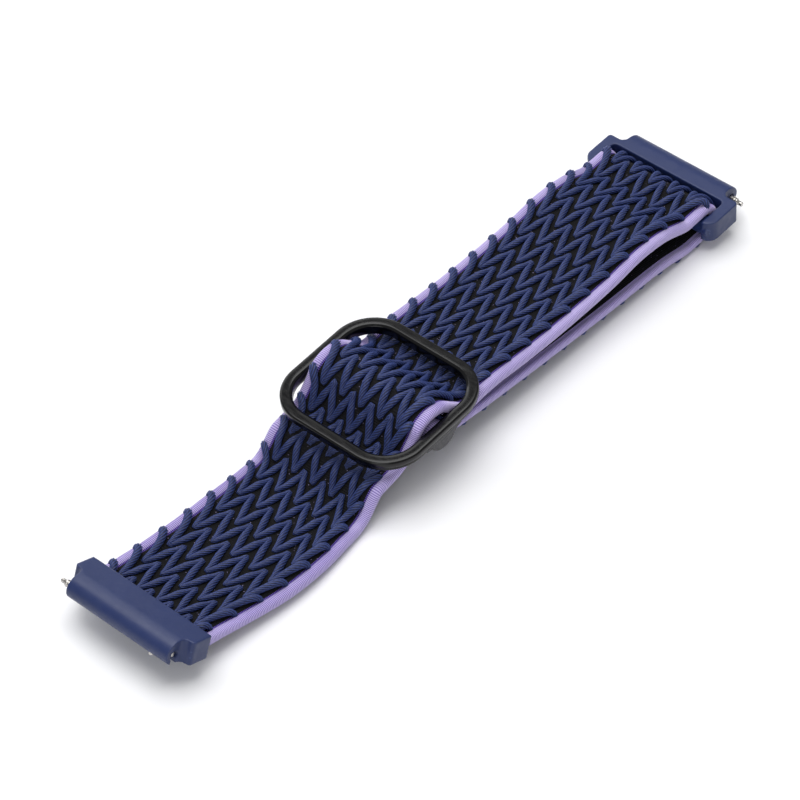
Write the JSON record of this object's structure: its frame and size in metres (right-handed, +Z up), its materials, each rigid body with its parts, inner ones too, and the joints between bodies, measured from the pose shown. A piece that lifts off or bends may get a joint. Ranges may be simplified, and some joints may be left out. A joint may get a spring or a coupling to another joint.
{
  "type": "fitness tracker band",
  "caption": "Woven elastic tracker band with moulded lug connectors, quick-release spring bars and a sliding tri-bar buckle.",
  "frame": {"origin": "under the middle of the band's box, on the surface that it lies on", "axes": "+X from the fixed connector to the loop connector, +Y to the side where the fixed connector's spring bar stands out, +Z up"},
  "size_m": [0.1436, 0.0284, 0.0146],
  "materials": {
    "blue_plastic": "satin moulded, slate blue",
    "black_metal": "glossy black coating",
    "steel": "turned stainless",
    "woven_nylon": "braided navy cords over a black ribbed elastic base",
    "edge_binding": "lavender knitted edge",
    "elastic_base": "black ribbed elastic",
    "seam_thread": "lavender sewing thread"
  },
  "bodies": {
    "base": {"fixed_connector": "blue_plastic", "strap_end_tab": "woven_nylon", "strap_left_run": "woven_nylon"},
    "fixed_bar": {"fixed_bar_tube": "steel", "fixed_bar_fixed_tip": "steel", "fixed_bar_spring": "steel"},
    "fixed_bar_release": {"fixed_bar_release_tip": "steel", "fixed_bar_release_lever": "steel"},
    "strap_middle": {"strap_crest": "woven_nylon", "strap_sewn_loop": "woven_nylon", "sewn_seam_inner": "seam_thread", "sewn_seam_outer": "seam_thread", "strap_top_run": "woven_nylon", "strap_lower_run": "woven_nylon"},
    "slider": {"slider_frame": "black_metal", "slider_center_bar": "steel"},
    "strap_end": {"strap_fold": "woven_nylon"},
    "loop_connector": {"loop_connector": "blue_plastic"},
    "loop_bar": {"loop_bar_tube": "steel", "loop_bar_fixed_tip": "steel", "loop_bar_spring": "steel"},
    "loop_bar_release": {"loop_bar_release_tip": "steel", "loop_bar_release_lever": "steel"}
  },
  "joints": [
    {"name": "slider_travel", "type": "slide", "parent": "base", "child": "strap_middle", "axis": [1, 0, 0], "range_m": [-0.01, 0.01], "deforming": ["strap_left_run"]},
    {"name": "slider_tilt", "type": "hinge", "parent": "strap_middle", "child": "slider", "pos_m": [-0.00984, 0, 0.00866], "axis": [0, 1, 0], "range_deg": [-4, 4], "deforming": ["strap_crest"]},
    {"name": "loop_travel", "type": "slide", "parent": "strap_middle", "child": "strap_end", "axis": [1, 0, 0], "range_m": [-0.005, 0.005], "deforming": ["strap_top_run", "strap_lower_run"]},
    {"name": "loop_swing", "type": "hinge", "parent": "strap_end", "child": "loop_connector", "pos_m": [0.06156, 0, 0.00453], "axis": [0, 1, 0], "range_deg": [-60, 60]},
    {"name": "fixed_bar_float", "type": "slide", "parent": "base", "child": "fixed_bar", "axis": [0, 1, 0], "range_m": [-0.0028, 0]},
    {"name": "fixed_bar_release_slide", "type": "slide", "parent": "fixed_bar", "child": "fixed_bar_release", "axis": [0, 1, 0], "range_m": [0, 0.0015], "stiffness_N_per_m": 300, "springref_m": -0.003, "deforming": ["fixed_bar_spring"]},
    {"name": "loop_bar_float", "type": "slide", "parent": "loop_connector", "child": "loop_bar", "axis": [0, -1, 0], "range_m": [-0.0028, 0]},
    {"name": "loop_bar_release_slide", "type": "slide", "parent": "loop_bar", "child": "loop_bar_release", "axis": [0, -1, 0], "range_m": [0, 0.0015], "stiffness_N_per_m": 300, "springref_m": -0.003, "deforming": ["loop_bar_spring"]}
  ],
  "couplings": [
    {"joint": "loop_travel", "follows": "slider_travel", "ratio": -0.5}
  ]
}
